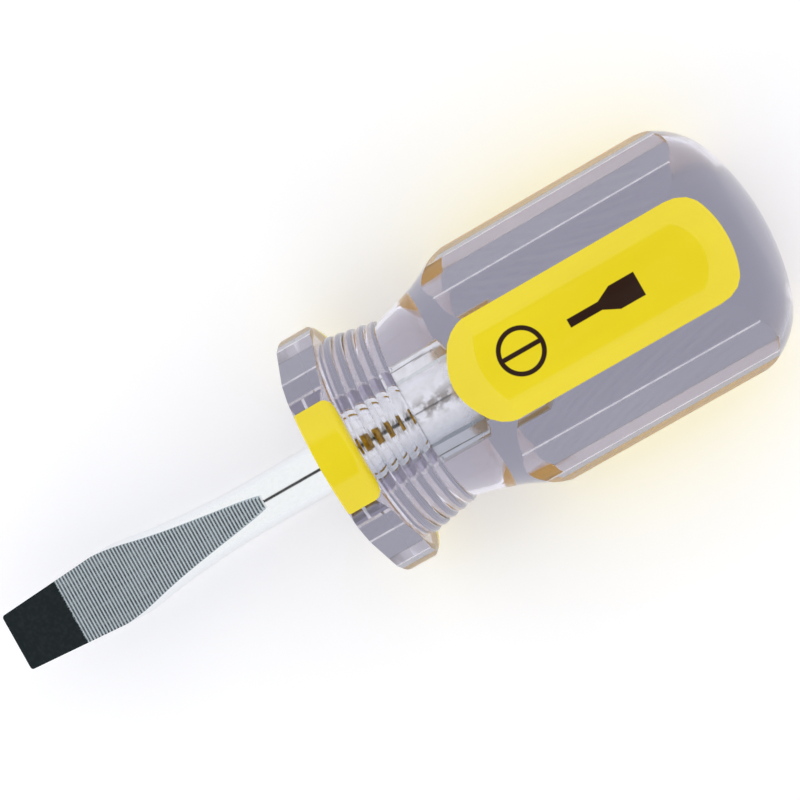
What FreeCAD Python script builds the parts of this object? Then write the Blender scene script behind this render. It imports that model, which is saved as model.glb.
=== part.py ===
import FreeCAD, Part
import math
import os

# Stubby slotted screwdriver, nominal 1/4 in blade by 1-1/2 in reach.
# The origin is the centre of the blade tip's end face, on the tool's axis.
# +X runs from the tip to the butt, +Y across the blade's width, +Z out of the top yellow flat.
# All sizes are in millimetres.

V = FreeCAD.Vector
ORIGIN = V(0, 0, 0)
X_AXIS = V(1, 0, 0)

# Driving dimensions, along the axis from the tip
flange_front_x = 38.95
overall_length = 87.2
embedded_depth = 22.0

# Handle section: three yellow flats with bevelled edges, and three clear flats between them
side_count = 3
flat_apothem = 13.05
flat_half_width = 3.8
stripe_half_width = 5.5
stripe_edge_height = 12.2
clear_flat_apothem = 12.08
clear_flat_half_width = 3.45

# Yellow stripe: a strip with a flat bottom and rounded lower edges, let into each flat.
# The (half width, height) corners of its underside, from the middle outwards.
stripe_under = [(4.1, 11.42), (4.9, 11.6), (5.35, 11.9)]

# Flange, turned with a small round in front, a larger one behind and a short land after it
flange_front_radius = 12.75
flange_edge_round = 0.35
flange_radius = 13.3
flange_rear_x = 42.95
flange_rear_round = 1.5
flange_rear_round_height = 11.95
flange_foot_radius = 10.95

# Five turned beads behind the land
first_bead_x = 43.2
bead_count = 5
bead_pitch = 1.14
bead_rise = 0.3
first_valley_radius = 10.78
last_valley_radius = 9.9

# Flare from the neck to the barrel, as (distance behind the last bead, radius)
flare_points = [(2.6, 10.66), (5.1, 11.47), (7.6, 12.67)]
flare_length = 9.5

# Domed butt: a shallow end arc and a tighter corner arc
butt_radius = 25.0
butt_corner_radius = 8.0
butt_face_radius = 8.25

# Steel blade and shank
shank_radius = 2.72
tip_half_width = 3.13
side_taper = 0.0667
tip_half_thickness = 0.52
tip_corner_round = 0.3
wedge_end_x = 30.4
blank_sections = [
    # distance from the tip, half width, half height
    (-2.0, 4.10, 4.20),
    (7.0, 4.15, 4.10),
    (12.0, 4.14, 3.60),
    (14.0, 4.02, 3.25),
    (16.6, 3.64, 2.95),
    (19.7, 3.24, 2.80),
    (22.9, 2.96, 2.74),
    (26.0, 2.78, 2.72),
    (29.0, shank_radius, shank_radius),
]

# Fine cross serrations on both wedge faces, from the black tip to the round shank
serration_start_x = 6.6
serration_pitch = 0.37
serration_depth = 0.07

# Wings forged out of the shank in the blade's plane, which key it in the handle
wing_start_x = 47.9
wing_length = 8.0
wing_half_span = 3.7
wing_half_thickness = 0.75
wing_ramp = 0.5

tang_end_x = flange_front_x + embedded_depth
tang_chamfer = 0.9
neck_x = first_bead_x + bead_count * bead_pitch
sides = {"top": 0, "left": 120, "right": 240}


def polygon_face(points):
    """Face of a closed outline given as (x, y, z) points."""
    loop = [V(*p) for p in points]
    return Part.Face(Part.makePolygon(loop + loop[:1]))


def section_face(points, x):
    """Face in the plane across the axis at x, from (y, z) points."""
    return polygon_face([(x, y, z) for y, z in points])


def turned_about_axis(shape, degrees):
    """Copy of a shape turned about the tool's axis."""
    copy = shape.copy()
    copy.rotate(ORIGIN, X_AXIS, degrees)
    return copy


def handle_section():
    """Outline of the handle's bar stock: one third, repeated three times."""
    slant = math.pi / side_count
    ridge_y = clear_flat_apothem * math.sin(slant) - clear_flat_half_width * math.cos(slant)
    ridge_z = clear_flat_apothem * math.cos(slant) + clear_flat_half_width * math.sin(slant)
    half = [
        (flat_half_width, flat_apothem),
        (stripe_half_width, stripe_edge_height),
        (ridge_y, ridge_z),
    ]
    third = [(-y, z) for y, z in reversed(half)] + half
    outline = []
    for side in range(side_count):
        angle = 2 * math.pi * side / side_count
        for y, z in third:
            turned_y = y * math.cos(angle) + z * math.sin(angle)
            turned_z = z * math.cos(angle) - y * math.sin(angle)
            outline.append((turned_y, turned_z))
    return outline


def arc_edge(start, middle, end):
    """Arc in the XY plane through three (x, radius) points."""
    return Part.Arc(V(*start, 0), V(*middle, 0), V(*end, 0)).toShape()


def line_edge(start, end):
    """Straight edge in the XY plane between two (x, radius) points."""
    return Part.LineSegment(V(*start, 0), V(*end, 0)).toShape()


def bead_edges():
    """Bulging arcs of the turned neck beads, from the land to the smooth neck."""
    edges = []
    start = (first_bead_x, flange_foot_radius)
    for bead in range(bead_count):
        share = bead / (bead_count - 1)
        valley_radius = first_valley_radius + share * (last_valley_radius - first_valley_radius)
        end = (first_bead_x + (bead + 1) * bead_pitch, valley_radius)
        crest = ((start[0] + end[0]) / 2, (start[1] + end[1]) / 2 + bead_rise)
        edges.append(arc_edge(start, crest, end))
        start = end
    return edges


def dome_edges():
    """Barrel line, butt corner arc and butt face arc, down to the axis."""
    face_centre_x = overall_length - butt_radius
    tilt = math.asin(butt_face_radius / butt_radius)
    join = (face_centre_x + butt_radius * math.cos(tilt), butt_face_radius)
    offset = butt_radius - butt_corner_radius
    centre = (face_centre_x + offset * math.cos(tilt), offset * math.sin(tilt))
    middle_angle = (math.pi / 2 + tilt) / 2
    middle = (
        centre[0] + butt_corner_radius * math.cos(middle_angle),
        centre[1] + butt_corner_radius * math.sin(middle_angle),
    )
    barrel_end = (centre[0], centre[1] + butt_corner_radius)
    face_middle = (
        face_centre_x + butt_radius * math.cos(tilt / 2),
        butt_radius * math.sin(tilt / 2),
    )
    corner_arc = arc_edge(barrel_end, middle, join)
    face_arc = arc_edge(join, face_middle, (overall_length, 0))
    return barrel_end, [corner_arc, face_arc]


def flange_edges():
    """Front face, front round, rim, rear round, rear face and land of the flange."""
    front_rim = (flange_front_x, flange_front_radius)
    rim_start = (flange_front_x + flange_edge_round, flange_radius)
    round_height = flange_radius - flange_front_radius
    round_radius = (flange_edge_round**2 + round_height**2) / (2 * flange_edge_round)
    half_sweep = math.asin(round_height / round_radius) / 2
    round_middle = (
        flange_front_x + round_radius * (1 - math.cos(half_sweep)),
        flange_front_radius + round_radius * math.sin(half_sweep),
    )
    centre_x = flange_rear_x - flange_rear_round
    sweep = math.asin((flange_radius - flange_rear_round_height) / flange_rear_round)
    rim_end = (centre_x + flange_rear_round * math.cos(sweep), flange_radius)
    rear_middle = (
        centre_x + flange_rear_round * math.cos(sweep / 2),
        flange_rear_round_height + flange_rear_round * math.sin(sweep / 2),
    )
    rear_end = (flange_rear_x, flange_rear_round_height)
    foot = (flange_rear_x, flange_foot_radius)
    return [
        line_edge((flange_front_x, 0), front_rim),
        arc_edge(front_rim, round_middle, rim_start),
        line_edge(rim_start, rim_end),
        arc_edge(rim_end, rear_middle, rear_end),
        line_edge(rear_end, foot),
        line_edge(foot, (first_bead_x, flange_foot_radius)),
    ]


def flare_edge(barrel_radius):
    """Smooth curve from the neck out to the barrel, and its last point."""
    through = [(neck_x, last_valley_radius)]
    through += [(neck_x + distance, radius) for distance, radius in flare_points]
    through += [(neck_x + flare_length, barrel_radius)]
    curve = Part.BSplineCurve()
    curve.interpolate([V(x, radius, 0) for x, radius in through])
    return curve.toShape(), through[-1]


def turned_envelope():
    """Solid of revolution that the lathe leaves: flange, beads, flare, barrel and dome."""
    barrel_end, dome = dome_edges()
    flare, flare_end = flare_edge(barrel_end[1])
    edges = flange_edges() + bead_edges()
    edges += [flare, line_edge(flare_end, barrel_end)]
    edges += dome
    edges += [line_edge((overall_length, 0), (flange_front_x, 0))]
    outline = Part.Face(Part.Wire(edges))
    return outline.revolve(ORIGIN, X_AXIS, 360)


def handle_blank():
    """Bar stock turned on the lathe, before the stripes and the shank are taken out."""
    length = overall_length - flange_front_x + 2
    bar = section_face(handle_section(), flange_front_x - 1).extrude(V(length, 0, 0))
    return turned_envelope().common(bar)


def stripe_bar():
    """Bar of one stripe's section, over the whole handle, on the top side."""
    clear_of_handle = flat_apothem + 3
    right = stripe_under + [(stripe_half_width, stripe_edge_height)]
    right += [(stripe_half_width, clear_of_handle)]
    section = right + [(-y, z) for y, z in reversed(right)]
    length = overall_length - flange_front_x + 2
    return section_face(section, flange_front_x - 1).extrude(V(length, 0, 0))


def wedge_half_height(x):
    """Half thickness of the ground blade at x, before the serrations."""
    slope = (shank_radius - tip_half_thickness) / wedge_end_x
    return tip_half_thickness + slope * x


def serrated_edge():
    """(x, z) points of the upper wedge face, from the tip to past its end on the shank."""
    points = [(0, tip_half_thickness)]
    points += [(serration_start_x, wedge_half_height(serration_start_x))]
    count = int((wedge_end_x - serration_start_x) / serration_pitch)
    for tooth in range(count):
        crest_x = serration_start_x + (tooth + 1) * serration_pitch
        valley_x = crest_x - serration_pitch / 2
        points.append((valley_x, wedge_half_height(valley_x) - serration_depth))
        points.append((crest_x, wedge_half_height(crest_x)))
    clear_of_shank = shank_radius + 2
    points.append((points[-1][0] + 1, clear_of_shank))
    return points


def ground_wedge():
    """Volume between the two serrated wedge faces, and the whole bar behind them."""
    upper = serrated_edge()
    outline = upper + [(tang_end_x + 1, upper[-1][1])]
    outline += [(x, -z) for x, z in reversed(outline)]
    reach = wing_half_span + 2
    face = polygon_face([(x, -reach, z) for x, z in outline])
    return face.extrude(V(0, 2 * reach, 0))


def side_ground_plan():
    """Volume between the two straight ground sides of the blade, widening from the tip."""
    end_x = tang_end_x + 1
    half_width = tip_half_width
    points = [
        (0, half_width - tip_corner_round),
        (tip_corner_round, half_width + side_taper * tip_corner_round),
        (end_x, half_width + side_taper * end_x),
    ]
    outline = points + [(x, -y) for x, y in reversed(points)]
    height = 2 * max(half_height for _, _, half_height in blank_sections)
    face = polygon_face([(x, y, -height / 2) for x, y in outline])
    return face.extrude(V(0, 0, height))


def forged_blank():
    """Flared blade blank, lofted through elliptical sections into the round shank."""
    wires = []
    for x, half_width, half_height in blank_sections:
        if half_height > half_width:
            ends = (V(x, 0, half_height), V(x, half_width, 0))
        else:
            ends = (V(x, half_width, 0), V(x, 0, half_height))
        ellipse = Part.Ellipse(ends[0], ends[1], V(x, 0, 0))
        wires.append(Part.Wire(ellipse.toShape()))
    return Part.makeLoft(wires, True)


def round_shank():
    """Round shank and tang with a chamfered inner end."""
    start_x = blank_sections[-1][0]
    length = tang_end_x - start_x
    bar = Part.makeCylinder(shank_radius, length, V(start_x, 0, 0), X_AXIS)
    end_edges = [e for e in bar.Edges if abs(e.CenterOfMass.x - tang_end_x) < 1e-6]
    return bar.makeChamfer(tang_chamfer, end_edges)


def wings():
    """Flat forged wings across the shank, with ramped ends."""
    end_x = wing_start_x + wing_length
    plan = [
        (wing_start_x, wing_half_span - wing_ramp),
        (wing_start_x + wing_ramp, wing_half_span),
        (end_x - wing_ramp, wing_half_span),
        (end_x, wing_half_span - wing_ramp),
    ]
    outline = plan + [(x, -y) for x, y in reversed(plan)]
    face = polygon_face([(x, y, -wing_half_thickness) for x, y in outline])
    return face.extrude(V(0, 0, 2 * wing_half_thickness))


def steel_blade():
    """Blade, shank, wings and tang: one bar of steel."""
    blade = forged_blank().common(side_ground_plan()).common(ground_wedge())
    shank = round_shank().common(ground_wedge())
    return blade.fuse(shank).fuse(wings()).removeSplitter()


def wing_tracks():
    """Grooves that the wings cut in the bore as the shank was pressed in."""
    length = wing_start_x - flange_front_x + 1
    corner = V(flange_front_x - 1, -wing_half_span, -wing_half_thickness)
    return Part.makeBox(length, 2 * wing_half_span, 2 * wing_half_thickness, corner)


def single_solid(shape):
    """The one solid of a shape that must hold exactly one."""
    if len(shape.Solids) != 1:
        raise ValueError("expected one solid, found %d" % len(shape.Solids))
    return shape.Solids[0]


def build():
    """Every node's shape, by name."""
    blade = single_solid(steel_blade())
    blank = handle_blank()
    stripe = stripe_bar()
    pieces = {"blade": blade}
    body = blank
    for side, degrees in sides.items():
        bar = turned_about_axis(stripe, -degrees)
        body = body.cut(bar)
        for inlay in blank.common(bar).Solids:
            place = "barrel" if inlay.CenterOfMass.x > neck_x else "flange"
            pieces["%s_inlay_%s" % (place, side)] = inlay
    body = body.cut(wing_tracks()).cut(blade)
    pieces["handle_body"] = single_solid(body)
    return pieces


os.makedirs("parts", exist_ok=True)
for name, shape in build().items():
    print(name, "valid", shape.isValid(), "volume", round(shape.Volume, 1), shape.BoundBox)
    shape.exportStep("parts/%s.step" % name)
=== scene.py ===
import math

import bmesh
import bpy
import numpy as np
from mathutils import Matrix, Vector


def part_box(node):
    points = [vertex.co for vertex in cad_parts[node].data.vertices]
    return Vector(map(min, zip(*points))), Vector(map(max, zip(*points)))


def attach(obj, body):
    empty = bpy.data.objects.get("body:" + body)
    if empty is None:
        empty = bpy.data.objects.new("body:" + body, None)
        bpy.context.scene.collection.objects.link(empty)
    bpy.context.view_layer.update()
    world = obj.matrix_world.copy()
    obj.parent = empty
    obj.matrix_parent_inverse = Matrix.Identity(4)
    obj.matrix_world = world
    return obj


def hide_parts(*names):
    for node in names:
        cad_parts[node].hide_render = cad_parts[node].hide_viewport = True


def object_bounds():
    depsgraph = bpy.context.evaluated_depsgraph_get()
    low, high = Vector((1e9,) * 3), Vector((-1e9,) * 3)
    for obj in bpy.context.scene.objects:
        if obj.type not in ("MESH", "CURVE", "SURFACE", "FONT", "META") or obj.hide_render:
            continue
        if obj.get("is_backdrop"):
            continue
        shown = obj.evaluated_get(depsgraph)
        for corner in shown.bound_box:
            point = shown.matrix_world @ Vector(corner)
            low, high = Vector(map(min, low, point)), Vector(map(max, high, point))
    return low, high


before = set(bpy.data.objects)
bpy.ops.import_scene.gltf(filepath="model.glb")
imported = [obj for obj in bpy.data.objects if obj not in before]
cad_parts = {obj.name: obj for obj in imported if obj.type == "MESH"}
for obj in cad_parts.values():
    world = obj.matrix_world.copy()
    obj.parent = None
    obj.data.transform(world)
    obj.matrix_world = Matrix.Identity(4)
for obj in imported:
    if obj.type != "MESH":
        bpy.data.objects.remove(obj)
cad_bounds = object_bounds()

# Stubby slotted screwdriver. The outlines are worked out in millimetres in the CAD frame:
# +X from the blade's tip to the butt, +Y across the blade's width, +Z out of the top panel.
MM = 0.001


def node_box_mm(node):
    """Lowest and highest corner of a CAD node, in millimetres."""
    low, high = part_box(node)
    return np.array(low) / MM, np.array(high) / MM


body_low, body_high = node_box_mm("handle_body")
inlay_low, inlay_high = node_box_mm("barrel_inlay_top")
blade_high = node_box_mm("blade")[1]

# ---------------------------------------------------------------- handle sizes
FLANGE_FRONT = body_low[0]
BUTT = body_high[0]
APOTHEM = inlay_high[2]
STRIPE_BOTTOM = inlay_low[2]
STRIPE_HALF_WIDTH = inlay_high[1]
STRIPE_EDGE_HEIGHT = 12.2
STRIPE_UNDER = [(0, STRIPE_BOTTOM), (4.1, STRIPE_BOTTOM), (4.9, 11.6), (5.35, 11.9)]
FLAT_HALF_WIDTH = 3.8
CLEAR_FLAT_APOTHEM = -body_low[2]
CLEAR_FLAT_HALF_WIDTH = 3.45

# Flange, with a small round in front, a larger one behind and a short land after it
FLANGE_FRONT_RADIUS = 12.75
FLANGE_EDGE_ROUND = 0.35
FLANGE_RADIUS = 13.3
FLANGE_REAR = FLANGE_FRONT + 4.0
FLANGE_REAR_ROUND = 1.5
FLANGE_REAR_ROUND_HEIGHT = 11.95
FLANGE_FOOT_RADIUS = 10.95

FIRST_BEAD = FLANGE_FRONT + 4.25
BEAD_COUNT = 5
BEAD_PITCH = 1.14
BEAD_RISE = 0.3
FIRST_VALLEY_RADIUS = 10.78
LAST_VALLEY_RADIUS = 9.9
NECK = FIRST_BEAD + BEAD_COUNT * BEAD_PITCH

FLARE_POINTS = [(2.6, 10.66), (5.1, 11.47), (7.6, 12.67)]
FLARE_LENGTH = 9.5

BUTT_RADIUS = 25.0
BUTT_CORNER_RADIUS = 8.0
BUTT_FACE_RADIUS = 8.25

# ---------------------------------------------------------------- blade sizes
# BLANK_SECTIONS holds the forged blank's (distance from the tip, half width, half height).
SHANK_RADIUS = 2.72
TIP_HALF_WIDTH = 3.13
SIDE_TAPER = 0.0667
TIP_HALF_THICKNESS = 0.52
TIP_CORNER_ROUND = 0.3
WEDGE_END = 30.4
BLANK_SECTIONS = [
    (-2.0, 4.10, 4.20),
    (7.0, 4.15, 4.10),
    (12.0, 4.14, 3.60),
    (14.0, 4.02, 3.25),
    (16.6, 3.64, 2.95),
    (19.7, 3.24, 2.80),
    (22.9, 2.96, 2.74),
    (26.0, 2.78, 2.72),
    (29.0, SHANK_RADIUS, SHANK_RADIUS),
    (33.0, SHANK_RADIUS, SHANK_RADIUS),
]
SERRATION_START = 6.6
SERRATION_PITCH = 0.37
SERRATION_DEPTH = 0.07
BLACK_END = 6.8
GROUND_SIDE_END = 15.0
WING_START = FLANGE_FRONT + 8.95
WING_LENGTH = 8.0
WING_HALF_SPAN = 3.7
WING_HALF_THICKNESS = 0.75
WING_RAMP = 0.5
WING_ROUND = 0.3
TANG_END = blade_high[0]
TANG_CHAMFER = 0.9

# The clear plastic grips the steel: its hidden bore lies a little inside the shank.
HIDDEN_BORE_RADIUS = 2.2
TRACK_CLEARANCE = 0.05

# ---------------------------------------------------------------- printed mark and painted ridge highlight
# MARK_BLADE holds where the printed blade's handle end, neck, shoulder and tip lie from the ring.
MARK_X = FLANGE_FRONT + 22.6
MARK_RING = 2.2
MARK_STROKE = 0.24
MARK_BLADE = (5.2, 8.6, 10.2, 12.9)
MARK_BLADE_HALF_WIDTHS = (0.45, 1.25)
PRINT_SOFTNESS = 0.04
# How far round the painted highlight along each ridge of the clear plastic reaches.
RIDGE_HIGHLIGHT_WIDTH = math.radians(0.75)

# ---------------------------------------------------------------- light and camera
SKY_STRENGTH = 1.09
SKY_GAP = 0.05
TABLE_GLOW = 0.12
TABLE_GLOW_COLOUR = (0.92, 0.93, 1, 1)
TABLE_SIZE = 3
CAMERA_DISTANCE = 0.2935
CAMERA_TILT = math.radians(9.28)
CAMERA_ROLL_ABOUT_TOOL = math.radians(-1.72)
PICTURE_TURN = math.radians(29.87)
AIM = Vector((0.04696, 0.00208, 0))
VIEW_WIDTH = 0.08
SENSOR_WIDTH = 36

# ---------------------------------------------------------------- rows of the meshes
FRONT_ROWS = 6
MIDDLE_SHARES = (0, 0.08, 0.35, 0.65, 0.92, 1)
MIDDLE_ROWS = len(MIDDLE_SHARES) - 2
REAR_ROWS = 12
LAND_ROWS = 1
BEAD_ROWS = 12
FLARE_ROWS = 40
DOME_ROWS = 44
INLAY_FRONT_ROWS = 7
INLAY_END_ROWS = 12
INLAY_MIDDLE_ROWS = 8
SHANK_ROWS = 16


# ---------------------------------------------------------------- mesh building
class Surface:
    """Collects grids of points as quads, each in a smooth patch with sharp edges round it."""

    def __init__(self):
        self.points = []
        self.faces = []
        self.patches = []
        self.count = 0

    def grid(self, rows, patch, closed=False):
        """rows[i][j] are points; patch is one value, or patch(i, j) for each quad."""
        rows = np.asarray(rows, float)
        row_count, column_count = rows.shape[:2]
        start = self.count
        self.points.append(rows.reshape(-1, 3))
        self.count += row_count * column_count
        span = column_count if closed else column_count - 1
        for i in range(row_count - 1):
            for j in range(span):
                k = (j + 1) % column_count
                a = start + i * column_count + j
                b = start + i * column_count + k
                self.faces.append((a, b, b + column_count, a + column_count))
                self.patches.append(patch(i, j) if callable(patch) else patch)

    def loop_face(self, points, patch):
        """One flat face from a closed loop of points."""
        points = np.asarray(points, float)
        self.points.append(points)
        self.faces.append(tuple(range(self.count, self.count + len(points))))
        self.patches.append(patch)
        self.count += len(points)

    def to_object(self, name):
        """Merges equal points, drops empty faces, and sets normals that are smooth in each patch."""
        points = np.concatenate(self.points)
        _, first, merged = np.unique(
            np.round(points, 5), axis=0, return_index=True, return_inverse=True
        )
        merged = merged.reshape(-1)
        points = points[first]
        faces, patches = [], []
        for face, patch in zip(self.faces, self.patches):
            loop = []
            for index in (int(merged[i]) for i in face):
                if index not in loop:
                    loop.append(index)
            if len(loop) > 2:
                faces.append(loop)
                patches.append(patch)
        mesh = bpy.data.meshes.new(name)
        mesh.from_pydata((points * MM).tolist(), [], faces)
        skin = bmesh.new()
        skin.from_mesh(mesh)
        bmesh.ops.recalc_face_normals(skin, faces=skin.faces)
        skin.to_mesh(mesh)
        skin.free()
        sums = {}
        for polygon, patch in zip(mesh.polygons, patches):
            weighted = np.array(polygon.normal) * polygon.area
            for vertex in polygon.vertices:
                key = (vertex, patch)
                sums[key] = sums.get(key, 0) + weighted
        normals = []
        for polygon, patch in zip(mesh.polygons, patches):
            polygon.use_smooth = True
            for vertex in polygon.vertices:
                total = sums[(vertex, patch)]
                normals.append(total / max(np.linalg.norm(total), 1e-20))
        mesh.normals_split_custom_set([tuple(n) for n in normals])
        obj = bpy.data.objects.new(name, mesh)
        bpy.context.scene.collection.objects.link(obj)
        return obj


def arc_points(start, middle, end, count):
    """Points along the arc through three (x, radius) points."""
    (ax, ay), (bx, by), (cx, cy) = start, middle, end
    d = 2 * (ax * (by - cy) + bx * (cy - ay) + cx * (ay - by))
    a2, b2, c2 = ax * ax + ay * ay, bx * bx + by * by, cx * cx + cy * cy
    ux = (a2 * (by - cy) + b2 * (cy - ay) + c2 * (ay - by)) / d
    uy = (a2 * (cx - bx) + b2 * (ax - cx) + c2 * (bx - ax)) / d
    radius = math.hypot(ax - ux, ay - uy)
    angles = [math.atan2(y - uy, x - ux) for x, y in (start, middle, end)]
    first, _, last = np.unwrap(angles)
    sweep = np.linspace(first, last, count)
    return np.stack([ux + radius * np.cos(sweep), uy + radius * np.sin(sweep)], 1)


def smooth_curve(points, count):
    """Natural cubic spline through the points, sampled evenly along x."""
    points = np.asarray(points, float)
    x, y = points[:, 0], points[:, 1]
    n = len(x)
    step = np.diff(x)
    system = np.eye(n)
    right = np.zeros(n)
    for i in range(1, n - 1):
        system[i, i - 1 : i + 2] = step[i - 1], 2 * (step[i - 1] + step[i]), step[i]
        right[i] = 6 * ((y[i + 1] - y[i]) / step[i] - (y[i] - y[i - 1]) / step[i - 1])
    bend = np.linalg.solve(system, right)
    at = np.linspace(x[0], x[-1], count)
    i = np.clip(np.searchsorted(x, at) - 1, 0, n - 2)
    left, h = at - x[i], step[i]
    back = h - left
    value = (bend[i] * back**3 + bend[i + 1] * left**3) / (6 * h)
    value += (y[i] / h - bend[i] * h / 6) * back + (y[i + 1] / h - bend[i + 1] * h / 6) * left
    return np.stack([at, value], 1)


# ---------------------------------------------------------------- turned outline of the handle
def turned_parts():
    """The lathe outline as stretches of (x, radius) points."""
    height = FLANGE_RADIUS - FLANGE_FRONT_RADIUS
    radius = (FLANGE_EDGE_ROUND**2 + height**2) / (2 * FLANGE_EDGE_ROUND)
    sweep = np.linspace(0, math.asin(height / radius), 12)
    front = np.stack(
        [
            FLANGE_FRONT + radius * (1 - np.cos(sweep)),
            FLANGE_FRONT_RADIUS + radius * np.sin(sweep),
        ],
        1,
    )
    rise = FLANGE_RADIUS - FLANGE_REAR_ROUND_HEIGHT
    sweep = np.linspace(math.asin(rise / FLANGE_REAR_ROUND), 0, 14)
    rear = np.stack(
        [
            FLANGE_REAR - FLANGE_REAR_ROUND * (1 - np.cos(sweep)),
            FLANGE_REAR_ROUND_HEIGHT + FLANGE_REAR_ROUND * np.sin(sweep),
        ],
        1,
    )
    cone = np.concatenate([rear, [(FLANGE_REAR, FLANGE_FOOT_RADIUS)]])
    beads = []
    start = (FIRST_BEAD, FLANGE_FOOT_RADIUS)
    for bead in range(BEAD_COUNT):
        share = bead / (BEAD_COUNT - 1)
        valley = FIRST_VALLEY_RADIUS + share * (LAST_VALLEY_RADIUS - FIRST_VALLEY_RADIUS)
        end = (FIRST_BEAD + (bead + 1) * BEAD_PITCH, valley)
        crest = ((start[0] + end[0]) / 2, (start[1] + end[1]) / 2 + BEAD_RISE)
        beads.append(arc_points(start, crest, end, BEAD_ROWS + 1))
        start = end
    face_centre = BUTT - BUTT_RADIUS
    tilt = math.asin(BUTT_FACE_RADIUS / BUTT_RADIUS)
    offset = BUTT_RADIUS - BUTT_CORNER_RADIUS
    centre = (face_centre + offset * math.cos(tilt), offset * math.sin(tilt))
    top = centre[1] + BUTT_CORNER_RADIUS
    corner = np.linspace(math.pi / 2, tilt, 40)
    face = np.linspace(tilt, 0, 24)[1:]
    dome = np.concatenate(
        [
            np.stack(
                [
                    centre[0] + BUTT_CORNER_RADIUS * np.cos(corner),
                    centre[1] + BUTT_CORNER_RADIUS * np.sin(corner),
                ],
                1,
            ),
            np.stack([face_centre + BUTT_RADIUS * np.cos(face), BUTT_RADIUS * np.sin(face)], 1),
        ]
    )
    through = [(NECK, LAST_VALLEY_RADIUS)]
    through += [(NECK + distance, radius) for distance, radius in FLARE_POINTS]
    through += [(NECK + FLARE_LENGTH, top)]
    flare = smooth_curve(through, 60)
    return front, cone, beads, flare, dome


FRONT, CONE, BEADS, FLARE, DOME = turned_parts()


def stretch(part, from_radius, to_radius, count):
    """Points of one steadily rising or falling stretch, between two radii."""
    x, radius = part[:, 0], part[:, 1]
    rising = radius[-1] > radius[0]
    order = slice(None) if rising else slice(None, None, -1)
    reach = np.interp([from_radius, to_radius], radius[order], np.arange(len(x))[order])
    at = np.linspace(reach[0], reach[1], count)
    steps = np.arange(len(x))
    return np.stack([np.interp(at, steps, x), np.interp(at, steps, radius)], 1)


# ---------------------------------------------------------------- bar section of the handle
def third_outline():
    """(y, z) corners of the section from the middle of a stripe to that of the next clear flat."""
    normal = np.array((math.sin(TURN / 2), math.cos(TURN / 2)))
    tangent = np.array((-normal[1], normal[0]))
    foot = normal * CLEAR_FLAT_APOTHEM
    ridge = foot + tangent * CLEAR_FLAT_HALF_WIDTH
    edge = (STRIPE_HALF_WIDTH, STRIPE_EDGE_HEIGHT)
    return [(0, APOTHEM), (FLAT_HALF_WIDTH, APOTHEM), edge, tuple(ridge), tuple(foot)]


SIDES = 3
TURN = 2 * math.pi / SIDES
OUTLINE = third_outline()
STRIPE_EDGE_ANGLE = math.atan2(STRIPE_HALF_WIDTH, STRIPE_EDGE_HEIGHT)
RIDGE_ANGLE = math.atan2(*OUTLINE[3])
RIDGE_RADIUS = math.hypot(*OUTLINE[3])


def folded(angle):
    """The angle from the middle of the nearest stripe, never negative."""
    return abs((angle + TURN / 2) % TURN - TURN / 2)


def cut_radius(angle, corners):
    """Distance from the axis to a polyline of (y, z) corners, along a ray at this angle."""
    across, up = math.sin(angle), math.cos(angle)
    for (ay, az), (by, bz) in zip(corners[:-1], corners[1:]):
        low, high = math.atan2(ay, az), math.atan2(by, bz)
        if low - 1e-9 <= angle <= high + 1e-9:
            ny, nz = az - bz, by - ay
            return (ay * ny + az * nz) / (across * ny + up * nz)
    raise ValueError(angle)


def section_radius(angle):
    """Distance from the axis to the bar section along a ray at this angle."""
    return cut_radius(folded(angle), OUTLINE)


BOTTOM = [*STRIPE_UNDER, (STRIPE_HALF_WIDTH, STRIPE_EDGE_HEIGHT)]


def limit_radius(angle):
    """How far the clear plastic reaches: the underside of a stripe, or the section elsewhere."""
    if folded(angle) < STRIPE_EDGE_ANGLE:
        return cut_radius(folded(angle), BOTTOM)
    return section_radius(angle)


def key_angles():
    """Angles from a stripe's middle at which the section, or a stripe's underside, has a column."""
    angles = []
    steps = {0: 8, 1: 5, 2: 7, 3: 5}
    for number, (start, end) in enumerate(zip(OUTLINE[:-1], OUTLINE[1:])):
        for y, z in np.linspace(start, end, steps[number] + 1):
            angles.append(math.atan2(y, z))
    angles += [math.atan2(y, z) for y, z in STRIPE_UNDER]
    return np.unique(np.round(angles, 9))


def stripe_angles():
    """Every column's angle across one stripe, from edge to edge."""
    half = key_angles()
    half = half[half <= STRIPE_EDGE_ANGLE + 1e-6]
    return np.concatenate([-half[:0:-1], half])


def ring_angles():
    """Every column's angle, once round, with extra ones for the wing tracks."""
    half = key_angles()
    third = np.concatenate([half, TURN - half[-2:0:-1]])
    angles = np.concatenate([third + turn * TURN for turn in range(SIDES)])
    corner = math.atan2(WING_HALF_SPAN, WING_HALF_THICKNESS)
    root = math.atan2(math.sqrt(HIDDEN_BORE_RADIUS**2 - WING_HALF_THICKNESS**2), WING_HALF_THICKNESS)
    for track in (corner, root, (corner + root) / 2):
        both_sides = [track, math.pi - track, math.pi + track, 2 * math.pi - track]
        angles = np.concatenate([angles, both_sides])
    return np.unique(np.round(angles, 9))


# ---------------------------------------------------------------- clear handle
def cavity_radius(angle, with_slot):
    """Radius of the hidden bore, with the two wing tracks beside it."""
    radius = HIDDEN_BORE_RADIUS
    if with_slot:
        across, up = abs(math.sin(angle)), abs(math.cos(angle))
        slot = min(WING_HALF_SPAN / max(across, 1e-9), WING_HALF_THICKNESS / max(up, 1e-9))
        radius = max(radius, slot)
    return radius


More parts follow.
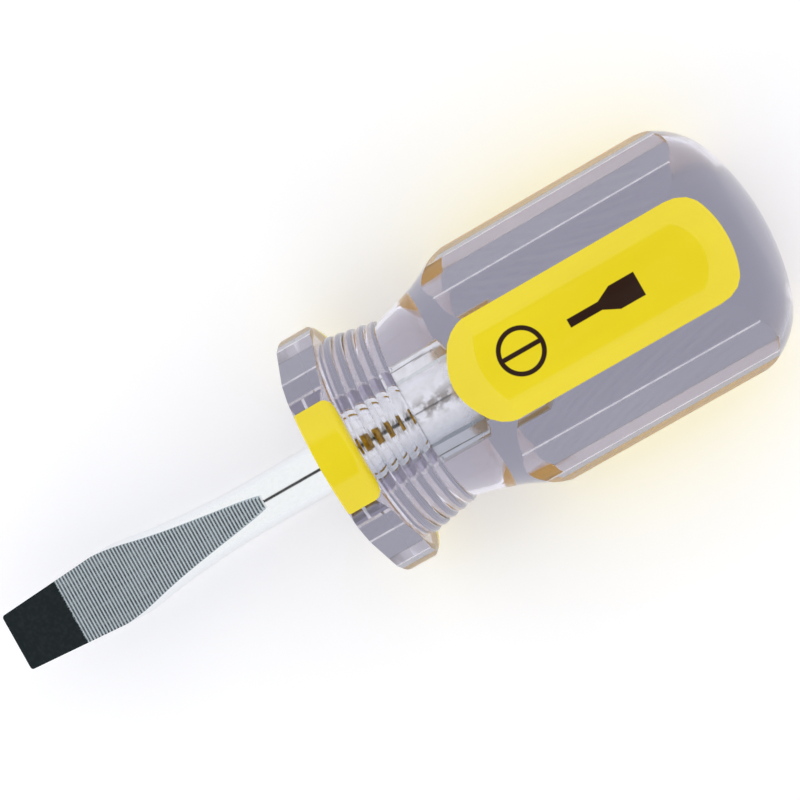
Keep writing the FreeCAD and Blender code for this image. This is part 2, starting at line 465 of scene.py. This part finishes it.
def clear_column(outer, limit):
    """(x, radius) rows down one column of the clear handle's outside."""

    def middle(begin, end):
        """Rows between two points; under a stripe they run hidden inside the yellow."""
        x = begin[0] + (end[0] - begin[0]) * np.array(MIDDLE_SHARES)
        top = np.minimum(outer, np.interp(x, ENVELOPE_X, ENVELOPE_R))
        low = np.minimum(limit, top)
        return np.stack([x, (low + top) / 2], 1)[1:-1]

    if limit > FLANGE_FRONT_RADIUS:
        front = stretch(FRONT, FLANGE_FRONT_RADIUS, limit, FRONT_ROWS)
    else:
        front = np.full((FRONT_ROWS, 2), (FLANGE_FRONT, limit))
    cone = stretch(CONE, limit, FLANGE_FOOT_RADIUS, REAR_ROWS)
    beads = [bead[1:] for bead in BEADS]
    flare = stretch(FLARE, LAST_VALLEY_RADIUS, limit, FLARE_ROWS)
    dome = stretch(DOME, limit, 0, DOME_ROWS)
    flange = [front, middle(front[-1], cone[0]), cone, BEADS[0][:LAND_ROWS]]
    barrel = [flare[1:], middle(flare[-1], dome[0]), dome]
    return np.concatenate(flange + beads + barrel)


def envelope_outline():
    """The whole lathe outline as one function of x, for clipping."""
    joined = np.concatenate([FRONT, CONE, BEADS[0][:1], *[b[1:] for b in BEADS], FLARE[1:], DOME])
    order = np.argsort(joined[:, 0], kind="stable")
    return joined[order, 0], joined[order, 1]


ENVELOPE_X, ENVELOPE_R = envelope_outline()


def ring_point(x, radius, angle):
    """A point at this distance along, this far from the axis and this far round from the top."""
    return (x, radius * math.sin(angle), radius * math.cos(angle))


def make_clear_handle():
    """The whole handle less the yellow: outside, front face and hidden bore."""
    angles = ring_angles()[::-1]
    limits = [limit_radius(a) for a in angles]
    paths = [clear_column(section_radius(a), limit) for a, limit in zip(angles, limits)]
    surface = Surface()
    rows = [
        [ring_point(path[i][0], path[i][1], a) for path, a in zip(paths, angles)]
        for i in range(len(paths[0]))
    ]
    flange_rows = range(FRONT_ROWS - 1, FRONT_ROWS + MIDDLE_ROWS)
    land_row = FRONT_ROWS + MIDDLE_ROWS + REAR_ROWS - 1
    first_bead_row = land_row + LAND_ROWS
    barrel_first = first_bead_row + BEAD_ROWS * BEAD_COUNT + FLARE_ROWS
    barrel_rows = range(barrel_first - 1, barrel_first + MIDDLE_ROWS)

    def patch(i, j):
        near, far = angles[j], angles[(j + 1) % len(angles)]
        if far > near:
            far -= 2 * math.pi
        middle = (near + far) / 2
        if i in flange_rows or i in barrel_rows:
            along = folded(middle)
            side = int((middle % (2 * math.pi)) // (TURN / 2))
            if along < STRIPE_EDGE_ANGLE:
                return ("hidden", i in barrel_rows, side)
            if along < RIDGE_ANGLE:
                return ("inner", i in barrel_rows, side)
            return ("flute", i in barrel_rows, int((middle % (2 * math.pi)) // TURN))
        if i < FRONT_ROWS - 1:
            return "front"
        if i < land_row:
            return "cone"
        if i < first_bead_row:
            return "land"
        bead = (i - first_bead_row) // BEAD_ROWS
        if bead < BEAD_COUNT:
            return ("bead", bead)
        return "flare" if i < barrel_first else "dome"

    surface.grid(rows, patch, closed=True)
    front = [
        [ring_point(FLANGE_FRONT, cavity_radius(a, True), a) for a in angles],
        [
            ring_point(FLANGE_FRONT, min(FLANGE_FRONT_RADIUS, limit), a)
            for a, limit in zip(angles, limits)
        ],
    ]
    surface.grid(front, "front_face", closed=True)
    slot_end = WING_START + TRACK_CLEARANCE
    bore_end = TANG_END - TANG_CHAMFER
    steps = ((FLANGE_FRONT, True), (slot_end, True), (slot_end, False), (bore_end, False))
    bore = [[ring_point(x, cavity_radius(a, slot), a) for a in angles] for x, slot in steps]
    surface.grid(bore, lambda i, j: ("bore", i), closed=True)
    surface.loop_face(bore[-1][::-1], "bore_end")
    return surface.to_object("clear_handle")


# ---------------------------------------------------------------- yellow inlays
def make_inlay(name, turn, front):
    """One yellow piece: a flange block or a barrel panel, a closed lens between two surfaces."""
    first_rows = INLAY_FRONT_ROWS if front else INLAY_END_ROWS
    tops, bottoms = [], []
    for angle in stripe_angles():
        outer = section_radius(angle)
        limit = limit_radius(angle) if folded(angle) < STRIPE_EDGE_ANGLE - 1e-6 else outer
        if front:
            first = stretch(FRONT, max(limit, FLANGE_FRONT_RADIUS), outer, first_rows)
            last = stretch(CONE, outer, limit, REAR_ROWS)
        else:
            first = stretch(FLARE, limit, outer, first_rows)
            last = stretch(DOME, outer, limit, INLAY_END_ROWS)
        along = np.linspace(first[-1][0], last[0][0], INLAY_MIDDLE_ROWS + 2)[1:-1]
        middle = np.stack([along, np.minimum(outer, np.interp(along, ENVELOPE_X, ENVELOPE_R))], 1)
        path = np.concatenate([first, middle, last])
        spun = angle + turn * TURN
        tops.append([ring_point(x, radius, spun) for x, radius in path])
        bottoms.append([ring_point(x, min(limit, radius), spun) for x, radius in path])
    tops = np.array(tops).transpose(1, 0, 2)
    bottoms = np.array(bottoms).transpose(1, 0, 2)
    surface = Surface()

    def patch(i, j):
        if i < first_rows - 1:
            return "first"
        return "top" if i < first_rows + INLAY_MIDDLE_ROWS else "last"

    surface.grid(tops[:, ::-1], patch)
    surface.grid(bottoms, "bottom")
    surface.grid([tops[0], bottoms[0]], "front_face")
    return surface.to_object(name)


# ---------------------------------------------------------------- steel blade
BLANK_CURVES = [
    smooth_curve([(x, w) for x, w, _ in BLANK_SECTIONS], 400),
    smooth_curve([(x, h) for x, _, h in BLANK_SECTIONS], 400),
]
ROUND_SHANK_START = 29.0
ROOT_ANGLE = math.acos(WING_HALF_THICKNESS / SHANK_RADIUS)
TOP_COLUMNS = 6
EDGE_COLUMNS = 15
ROOT_COLUMNS = 6
SIDE_COLUMNS = 4


def blank_half_sizes(x):
    """Half width and half height of the forged blank at x."""
    if x >= ROUND_SHANK_START:
        return SHANK_RADIUS, SHANK_RADIUS
    return [float(np.interp(x, curve[:, 0], curve[:, 1])) for curve in BLANK_CURVES]


def blade_quadrant(x, wedge, span=None):
    """(y, z) points of a quarter section, from the top middle round to the side.

    wedge is the half thickness that the grinding leaves; span is the wing's half span, if any."""
    width, height = blank_half_sizes(x)
    top = min(wedge, height)
    side = TIP_HALF_WIDTH + SIDE_TAPER * x
    if x < TIP_CORNER_ROUND:
        back = 1 - x / TIP_CORNER_ROUND
        side -= TIP_CORNER_ROUND * (1 - math.sqrt(1 - back * back))
    first = math.acos(min(top / height, 1))
    if side < width:
        cut = math.asin(side / width)
        first = min(first, cut)
        last = max(first, cut)
    else:
        last = math.pi / 2
    turn = first + (last - first) * ROOT_ANGLE / (math.pi / 2)
    edge_angles = np.linspace(first, turn, EDGE_COLUMNS)
    root_angles = np.linspace(turn, last, ROOT_COLUMNS)
    edge = np.stack([width * np.sin(edge_angles), height * np.cos(edge_angles)], 1)
    root = np.stack([width * np.sin(root_angles), height * np.cos(root_angles)], 1)
    edge[:, 1] = np.minimum(edge[:, 1], top)
    root[:, 1] = np.minimum(root[:, 1], top)
    if span is not None:
        end = (span - WING_ROUND, WING_HALF_THICKNESS)
        root = np.linspace(edge[-1], end, ROOT_COLUMNS)
        cut_in = WING_ROUND * 0.3
        side_points = [
            (span - cut_in, WING_HALF_THICKNESS - cut_in),
            (span, WING_HALF_THICKNESS - WING_ROUND),
            (span, 0),
        ]
        side_run = np.array([root[-1], *side_points])
    else:
        side_run = np.linspace(root[-1], (root[-1][0], 0), SIDE_COLUMNS)
    flat = np.linspace((0, top), edge[0], TOP_COLUMNS)
    return np.concatenate([flat, edge[1:], root[1:], side_run[1:]])


def blade_rows():
    """(x, half thickness, wing half span or None) down the blade, and where it is serrated."""
    slope = (SHANK_RADIUS - TIP_HALF_THICKNESS) / WEDGE_END

    def thickness(x):
        return TIP_HALF_THICKNESS + slope * x

    rows = [(x, thickness(x), None) for x in (0, 0.02, 0.06, 0.13, 0.21)]
    tip = np.linspace(TIP_CORNER_ROUND, SERRATION_START, 10)
    rows += [(x, thickness(x), None) for x in tip]
    count = int((WEDGE_END - SERRATION_START) / SERRATION_PITCH)
    serrated_from = len(rows) - 1
    for tooth in range(count):
        crest = SERRATION_START + (tooth + 1) * SERRATION_PITCH
        valley = crest - SERRATION_PITCH / 2
        rows.append((valley, thickness(valley) - SERRATION_DEPTH, None))
        rows.append((crest, thickness(crest), None))
    serrated_to = len(rows) - 1
    shank = np.linspace(WEDGE_END + 0.1, WING_START, SHANK_ROWS)
    rows += [(x, SHANK_RADIUS, None) for x in shank]
    wing_end = WING_START + WING_LENGTH
    for x, inset in (
        (WING_START + 0.03, WING_RAMP),
        (WING_START + WING_RAMP, 0),
        (wing_end - WING_RAMP, 0),
        (wing_end - 0.03, WING_RAMP),
    ):
        rows.append((x, SHANK_RADIUS, WING_HALF_SPAN - inset))
    rows += [(wing_end, SHANK_RADIUS, None), (TANG_END - TANG_CHAMFER, SHANK_RADIUS, None)]
    return rows, serrated_from, serrated_to


def make_blade():
    """Tip, serrated wedge, flare, shank, wings and tang as one closed skin."""
    rows, serrated_from, serrated_to = blade_rows()
    rings = []
    for x, wedge, span in rows:
        quarter = blade_quadrant(x, wedge, span)
        right_bottom = quarter[::-1] * (1, -1)
        left_bottom = quarter * (-1, -1)
        left_top = quarter[::-1] * (-1, 1)
        ring = np.concatenate([quarter, right_bottom[1:], left_bottom[1:], left_top[1:-1]])
        rings.append([(x, y, z) for y, z in ring])
    quarter_count = len(quarter) - 1
    shrink = (SHANK_RADIUS - TANG_CHAMFER) / SHANK_RADIUS
    end = [(TANG_END, y * shrink, z * shrink) for _, y, z in rings[-1]]
    rings.append(end)
    first_side_column = TOP_COLUMNS + EDGE_COLUMNS + ROOT_COLUMNS - 3
    first_root_column = TOP_COLUMNS + EDGE_COLUMNS - 2
    wing_rows = range(serrated_to + SHANK_ROWS + 1, serrated_to + SHANK_ROWS + 5)

    def patch(i, j):
        if i == len(rings) - 2:
            return "chamfer"
        along = j % (2 * quarter_count)
        if along >= quarter_count:
            along = 2 * quarter_count - 1 - along
        quadrant = j // quarter_count
        face = quadrant in (0, 3)
        if along < TOP_COLUMNS - 1:
            if serrated_from <= i < serrated_to:
                return ("serration", i, face)
            return ("flat", face) if i < serrated_from else "round"
        if along >= first_side_column and rows[i][0] < GROUND_SIDE_END:
            return ("side", quadrant // 2)
        if i in wing_rows:
            return ("wing", quadrant, along < first_root_column)
        return "round"

    surface = Surface()
    surface.grid(rings, patch, closed=True)
    surface.loop_face(rings[0][::-1], "tip")
    surface.loop_face(end, "tang")
    return surface.to_object("steel_blade")


# ---------------------------------------------------------------- materials
class Shading:
    """A material's node tree, with short calls for the nodes that the finishes share."""

    def __init__(self, name):
        self.material = bpy.data.materials.new(name)
        self.material.use_nodes = True
        self.tree = self.material.node_tree
        self.shader = self.tree.nodes["Principled BSDF"]
        self.where = self.tree.nodes.new("ShaderNodeTexCoord").outputs["Object"]

    def set(self, **values):
        """Sets the shader's own sockets, by name."""
        for name, value in values.items():
            self.shader.inputs[name.replace("_", " ")].default_value = value

    def link(self, output, name):
        """Feeds one of the shader's sockets from another node."""
        self.tree.links.new(output, self.shader.inputs[name])

    def feed(self, node, name, value):
        """Puts a number, a colour or another node's output in a socket."""
        if isinstance(value, bpy.types.NodeSocket):
            self.tree.links.new(value, node.inputs[name])
        else:
            node.inputs[name].default_value = value

    def math(self, operation, first, second=0.0):
        """One sum of two numbers or outputs."""
        node = self.tree.nodes.new("ShaderNodeMath")
        node.operation = operation
        self.feed(node, 0, first)
        self.feed(node, 1, second)
        return node.outputs[0]

    def axis(self, letter):
        """Distance along one axis of the tool, in millimetres."""
        node = self.tree.nodes.new("ShaderNodeSeparateXYZ")
        self.feed(node, 0, self.where)
        return self.math("DIVIDE", node.outputs[letter], MM)

    def noise(self, per_mm, detail=3.0, squash=(1, 1, 1)):
        """Noise with this many cells to the millimetre, squashed along the axes if asked."""
        size = self.tree.nodes.new("ShaderNodeMapping")
        size.inputs["Scale"].default_value = tuple(per_mm / MM * part for part in squash)
        self.feed(size, "Vector", self.where)
        node = self.tree.nodes.new("ShaderNodeTexNoise")
        node.inputs["Scale"].default_value = 1
        node.inputs["Detail"].default_value = detail
        self.feed(node, "Vector", size.outputs[0])
        return node.outputs["Fac"]

    def spread(self, value, from_low, from_high, to_low, to_high):
        """Carries a value from one range to another, held at the ends."""
        node = self.tree.nodes.new("ShaderNodeMapRange")
        names = ("Value", "From Min", "From Max", "To Min", "To Max")
        for name, part in zip(names, (value, from_low, from_high, to_low, to_high)):
            self.feed(node, name, part)
        return node.outputs[0]

    def blend(self, share, first, second):
        """Mixes two colours."""
        node = self.tree.nodes.new("ShaderNodeMix")
        node.data_type = "RGBA"
        self.feed(node, "Factor", share)
        for name, value in (("A", first), ("B", second)):
            self.feed(node, name, value if isinstance(value, bpy.types.NodeSocket) else (*value, 1))
        return node.outputs["Result"]

    def length(self, first, second):
        """Length of the diagonal of two distances."""
        squares = [self.math("POWER", part, 2) for part in (first, second)]
        return self.math("SQRT", self.math("ADD", *squares))

    def product(self, *parts):
        """All the parts multiplied together."""
        total = parts[0]
        for part in parts[1:]:
            total = self.math("MULTIPLY", total, part)
        return total

    def bump(self, height, distance_mm, strength=1.0):
        """Small relief, whose height runs from 0 to 1 over this distance."""
        node = self.tree.nodes.new("ShaderNodeBump")
        node.inputs["Strength"].default_value = strength
        node.inputs["Distance"].default_value = distance_mm * MM
        self.feed(node, "Height", height)
        self.link(node.outputs[0], "Normal")


CLEAR_TINT = (0.765, 0.745, 0.845)
CLEAR_TINT_WORN = (0.73, 0.71, 0.81)
# Light lavender painted along the clear plastic's ridges as a highlight.
RIDGE_HIGHLIGHT_PAINT = (0.80, 0.78, 0.81)
YELLOW = (0.86, 0.70, 0.012)
YELLOW_DEEP = (0.82, 0.655, 0.010)
# Amber painted as shade on the yellow's inward faces.
AMBER_PAINTED_SHADE = (0.95, 0.54, 0.008)
PRINT = (0.022, 0.006, 0.001)
CHROME = (0.81, 0.83, 0.845)
CHROME_DULL = (0.78, 0.80, 0.815)
GROUND = (0.42, 0.485, 0.525)
BURIED = (0.89, 0.92, 0.90)
# Brown painted on the buried shank as a dim reflection of the yellow inlays.
BROWN_PAINTED_REFLECTION = (0.30, 0.28, 0.24)
SHADED = (0.36, 0.40, 0.44)
BLACK_OXIDE = (0.021, 0.028, 0.030)
BLACK_OXIDE_WORN = (0.032, 0.040, 0.043)


def plastic_clear():
    """Clear acetate with a lavender cast: painted highlights along the ridges, handling marks and a soft
    unevenness.
    """
    look = Shading("clear_plastic")
    look.set(IOR=1.48)
    across, up = look.axis("Y"), look.axis("Z")
    turned = look.math("MODULO", look.math("ADD", look.math("ARCTAN2", across, up), 2 * TURN), TURN)
    from_flat = look.math("ABSOLUTE", look.math("SUBTRACT", turned, TURN / 2))
    from_ridge = look.math("ABSOLUTE", look.math("SUBTRACT", from_flat, TURN / 2 - RIDGE_ANGLE))
    # Painted highlight: the outermost edge of each ridge is made patchily lighter and less clear.
    ridge = look.spread(from_ridge, RIDGE_HIGHLIGHT_WIDTH * 0.6, RIDGE_HIGHLIGHT_WIDTH * 1.3, 1, 0)
    outermost = look.spread(look.length(across, up), RIDGE_RADIUS - 0.12, RIDGE_RADIUS - 0.04, 0, 1)
    patchy = look.spread(look.noise(0.8, 3), 0.3, 0.6, 0.45, 0.75)
    painted_ridge_highlight = look.product(ridge, outermost, patchy)
    cloud = look.noise(0.12, 2)
    tint = look.blend(look.spread(cloud, 0.35, 0.65, 0, 1), CLEAR_TINT, CLEAR_TINT_WORN)
    look.link(look.blend(painted_ridge_highlight, tint, RIDGE_HIGHLIGHT_PAINT), "Base Color")
    look.link(look.spread(painted_ridge_highlight, 0, 1, 1, 0.15), "Transmission Weight")
    scuffs = look.noise(0.9, 4, (0.35, 1, 1))
    butt = look.spread(look.axis("X"), BUTT - 8, BUTT - 3.5, 0, 0.13)
    look.link(look.math("ADD", look.spread(scuffs, 0.45, 0.75, 0.012, 0.035), butt), "Roughness")
    look.bump(look.noise(0.35, 2), 0.003, 0.4)
    return look.material


def printed_marks(look, along, across):
    """Share of ink: a slotted screw head, and the outline of a flat blade behind it."""

    def within(value, middle, half):
        gap = look.math("ABSOLUTE", look.math("SUBTRACT", value, middle))
        return look.spread(gap, half - PRINT_SOFTNESS, half + PRINT_SOFTNESS, 1, 0)

    out = look.math("SUBTRACT", along, MARK_X)
    ring = within(look.length(out, across), MARK_RING, MARK_STROKE)
    slot = look.product(within(across, 0, MARK_STROKE), within(out, 0, MARK_RING))
    start, narrow_end, wide_start, end = MARK_BLADE
    half_width = look.spread(out, narrow_end, wide_start, *MARK_BLADE_HALF_WIDTHS)
    inside = look.math("SUBTRACT", half_width, look.math("ABSOLUTE", across))
    width = look.spread(inside, -PRINT_SOFTNESS, PRINT_SOFTNESS, 0, 1)
    blade = look.product(width, within(out, (start + end) / 2, (end - start) / 2))
    return look.math("MAXIMUM", look.math("MAXIMUM", ring, slot), blade)


def plastic_yellow():
    """Opaque yellow acetate: glossy outside, with painted shade that turns it amber where it faces in,
    and a plain printed mark.
    """
    look = Shading("yellow_plastic")
    along, across, up = look.axis("X"), look.axis("Y"), look.axis("Z")
    drift = look.noise(0.15, 3, (0.3, 1, 1))
    outside = look.blend(look.spread(drift, 0.35, 0.65, 0, 1), YELLOW, YELLOW_DEEP)
    # Painted shade: faces that turn in towards the axis go amber, for yellow seen in shade through the
    # clear plastic.
    facing = look.tree.nodes.new("ShaderNodeSeparateXYZ")
    look.feed(facing, 0, look.tree.nodes.new("ShaderNodeTexCoord").outputs["Normal"])
    sideways = look.product(facing.outputs["Y"], across)
    upwards = look.product(facing.outputs["Z"], up)
    outward = look.math("ADD", sideways, upwards)
    colour = look.blend(look.spread(outward, -0.5, 0.5, 1, 0), outside, AMBER_PAINTED_SHADE)
    top_face = look.spread(up, APOTHEM - 0.1, APOTHEM - 0.05, 0, 1)
    printed = look.product(printed_marks(look, along, across), top_face)
    look.link(look.blend(printed, colour, PRINT), "Base Color")
    gloss = look.spread(look.noise(0.5, 4, (0.3, 1, 1)), 0.35, 0.7, 0.18, 0.24)
    look.link(gloss, "Roughness")
    look.bump(look.noise(0.8, 2, (0.05, 1, 1)), 0.003, 0.25)
    return look.material


def steel():
    """Chromed steel: drawn grain along the round shank, black oxide on the tip."""
    look = Shading("chromed_steel")
    look.set(Metallic=1.0)
    along = look.axis("X")
    speckle = look.noise(2.6, 4)
    edge = look.math("ADD", along, look.spread(look.noise(5, 3), 0.3, 0.7, -0.09, 0.09))
    bright = look.spread(edge, BLACK_END - 0.06, BLACK_END + 0.06, 0, 1)
    chrome = look.blend(look.spread(speckle, 0.4, 0.75, 0, 1), CHROME, CHROME_DULL)
    oxide = look.blend(look.spread(speckle, 0.45, 0.8, 0, 1), BLACK_OXIDE, BLACK_OXIDE_WORN)
    height = look.math("ABSOLUTE", look.axis("Z"))
    wedge = look.spread(along, 0, WEDGE_END, TIP_HALF_THICKNESS, SHANK_RADIUS)
    left_by_grinding = look.math("SUBTRACT", height, wedge)
    flat = look.spread(left_by_grinding, -SERRATION_DEPTH - 0.03, -SERRATION_DEPTH - 0.01, 0, 1)
    flat = look.math("MULTIPLY", flat, look.spread(along, WEDGE_END - 0.4, WEDGE_END, 1, 0))
    inside = look.spread(along, FLANGE_FRONT - 0.05, FLANGE_FRONT + 0.05, 0, 1)
    # Painted reflection: brown blots down the middle of the buried shank stand in for the yellow inlays
    # seen dimly in the chrome.
    middle = look.spread(look.math("ABSOLUTE", look.axis("Y")), 0.3, 1.1, 0.85, 0.12)
    blots = look.spread(look.noise(1.3, 4, (0.7, 1, 1)), 0.42, 0.6, 0, 1)
    buried_with_painted_light = look.blend(look.math("MULTIPLY", middle, blots), BURIED, BROWN_PAINTED_REFLECTION)
    # Painted shade: the buried shank darkens towards its low side (-Y).
    low_side = look.spread(look.axis("Y"), -2.5, -0.9, 0.7, 0)
    buried_with_painted_light = look.blend(low_side, buried_with_painted_light, SHADED)
    chrome = look.blend(inside, chrome, buried_with_painted_light)
    look.link(look.blend(bright, oxide, look.blend(flat, chrome, GROUND)), "Base Color")
    buried = look.spread(along, NECK + 4, NECK + 6, 0, 0.25)
    grain = look.spread(look.noise(3.5, 4, (0.08, 1, 1)), 0.35, 0.7, 0.06, 0.14)
    grain = look.math("ADD", grain, look.math("ADD", buried, look.math("MULTIPLY", flat, 0.10)))
    matt = look.spread(speckle, 0.3, 0.7, 0.38, 0.55)
    rough = look.tree.nodes.new("ShaderNodeMix")
    look.feed(rough, 0, bright)
    look.feed(rough, 2, matt)
    look.feed(rough, 3, grain)
    look.link(rough.outputs[0], "Roughness")
    look.bump(look.noise(6, 3, (0.12, 1, 1)), 0.003, 0.4)
    return look.material


def paper():
    """White light table: a faint paper mottle, glowing softly from below."""
    look = Shading("light_table")
    mottle = look.spread(look.noise(0.05, 4), 0.3, 0.7, 0, 1)
    look.link(look.blend(mottle, (0.97, 0.97, 0.99), (0.95, 0.95, 0.975)), "Base Color")
    look.set(Roughness=0.9, Emission_Color=TABLE_GLOW_COLOUR, Emission_Strength=TABLE_GLOW)
    return look.material


# ---------------------------------------------------------------- assembly
def fit(obj, material, slot, *nodes):
    """Gives a piece its finish and puts it in the place of its CAD nodes."""
    obj.data.materials.append(material)
    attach(obj, "root")
    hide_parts(*nodes)


handle = make_clear_handle()
fit(handle, plastic_clear(), "clear_plastic", "handle_body")
yellow = plastic_yellow()
for turn, side in enumerate(("top", "left", "right")):
    fit(make_inlay("barrel_panel_" + side, turn, False), yellow, "yellow_plastic", "barrel_inlay_" + side)
    fit(make_inlay("flange_block_" + side, turn, True), yellow, "yellow_plastic", "flange_inlay_" + side)
fit(make_blade(), steel(), "chromed_steel", "blade")

# ---------------------------------------------------------------- floor, lights and camera
low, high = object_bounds()
bpy.ops.mesh.primitive_plane_add(size=TABLE_SIZE, location=((low.x + high.x) / 2, 0, low.z))
floor = bpy.context.object
floor.data.materials.append(paper())
floor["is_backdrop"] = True

# Soft white light from all round, with a narrow dark gap overhead that runs along the tool.
world = bpy.data.worlds.new("studio")
bpy.context.scene.world = world
world.use_nodes = True
sky = world.node_tree
background = sky.nodes["Background"]
background.inputs["Color"].default_value = (1, 1, 1, 1)
direction = sky.nodes.new("ShaderNodeSeparateXYZ")
sky.links.new(sky.nodes.new("ShaderNodeTexCoord").outputs["Generated"], direction.inputs[0])


def slant(letter, near, far):
    """0 inside the gap and 1 outside it, by how far the light leans along one axis."""
    lean = sky.nodes.new("ShaderNodeMath")
    lean.operation = "ABSOLUTE"
    sky.links.new(direction.outputs[letter], lean.inputs[0])
    ramp = sky.nodes.new("ShaderNodeMapRange")
    ramp.interpolation_type = "SMOOTHSTEP"
    ramp.inputs["From Min"].default_value = near
    ramp.inputs["From Max"].default_value = far
    sky.links.new(lean.outputs[0], ramp.inputs["Value"])
    return ramp.outputs[0]


outside = sky.nodes.new("ShaderNodeMath")
outside.operation = "MAXIMUM"
sky.links.new(slant("X", 0.55, 0.75), outside.inputs[0])
sky.links.new(slant("Y", 0.07, 0.14), outside.inputs[1])
level = sky.nodes.new("ShaderNodeMapRange")
level.inputs["To Min"].default_value = SKY_GAP
level.inputs["To Max"].default_value = SKY_STRENGTH
sky.links.new(outside.outputs[0], level.inputs["Value"])
sky.links.new(level.outputs[0], background.inputs["Strength"])

# The camera looks down on the tool, a little towards its tip, with the tool turned in the picture.
tilt_cos, tilt_sin = math.cos(CAMERA_TILT), math.sin(CAMERA_TILT)
back = Vector((tilt_sin, 0, tilt_cos))
along = Vector((tilt_cos, 0, -tilt_sin))
across = Vector((0, 1, 0))
picture_right = along * math.cos(PICTURE_TURN) - across * math.sin(PICTURE_TURN)
picture_up = along * math.sin(PICTURE_TURN) + across * math.cos(PICTURE_TURN)
pose = Matrix((picture_right, picture_up, back)).transposed().to_4x4()
pose.translation = AIM + back * CAMERA_DISTANCE
pose = Matrix.Rotation(-CAMERA_ROLL_ABOUT_TOOL, 4, "X") @ pose
lens = bpy.data.cameras.new("camera")
lens.sensor_width = SENSOR_WIDTH
lens.lens = SENSOR_WIDTH * CAMERA_DISTANCE / VIEW_WIDTH
lens.clip_start = 0.01
camera = bpy.data.objects.new("camera", lens)
camera.matrix_world = pose
bpy.context.scene.collection.objects.link(camera)
bpy.context.scene.camera = camera

bpy.context.scene.view_settings.view_transform = "Standard"

boxes = {"cad": cad_bounds, "visual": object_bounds()}
{name: [list(corner) for corner in box] for name, box in boxes.items()}
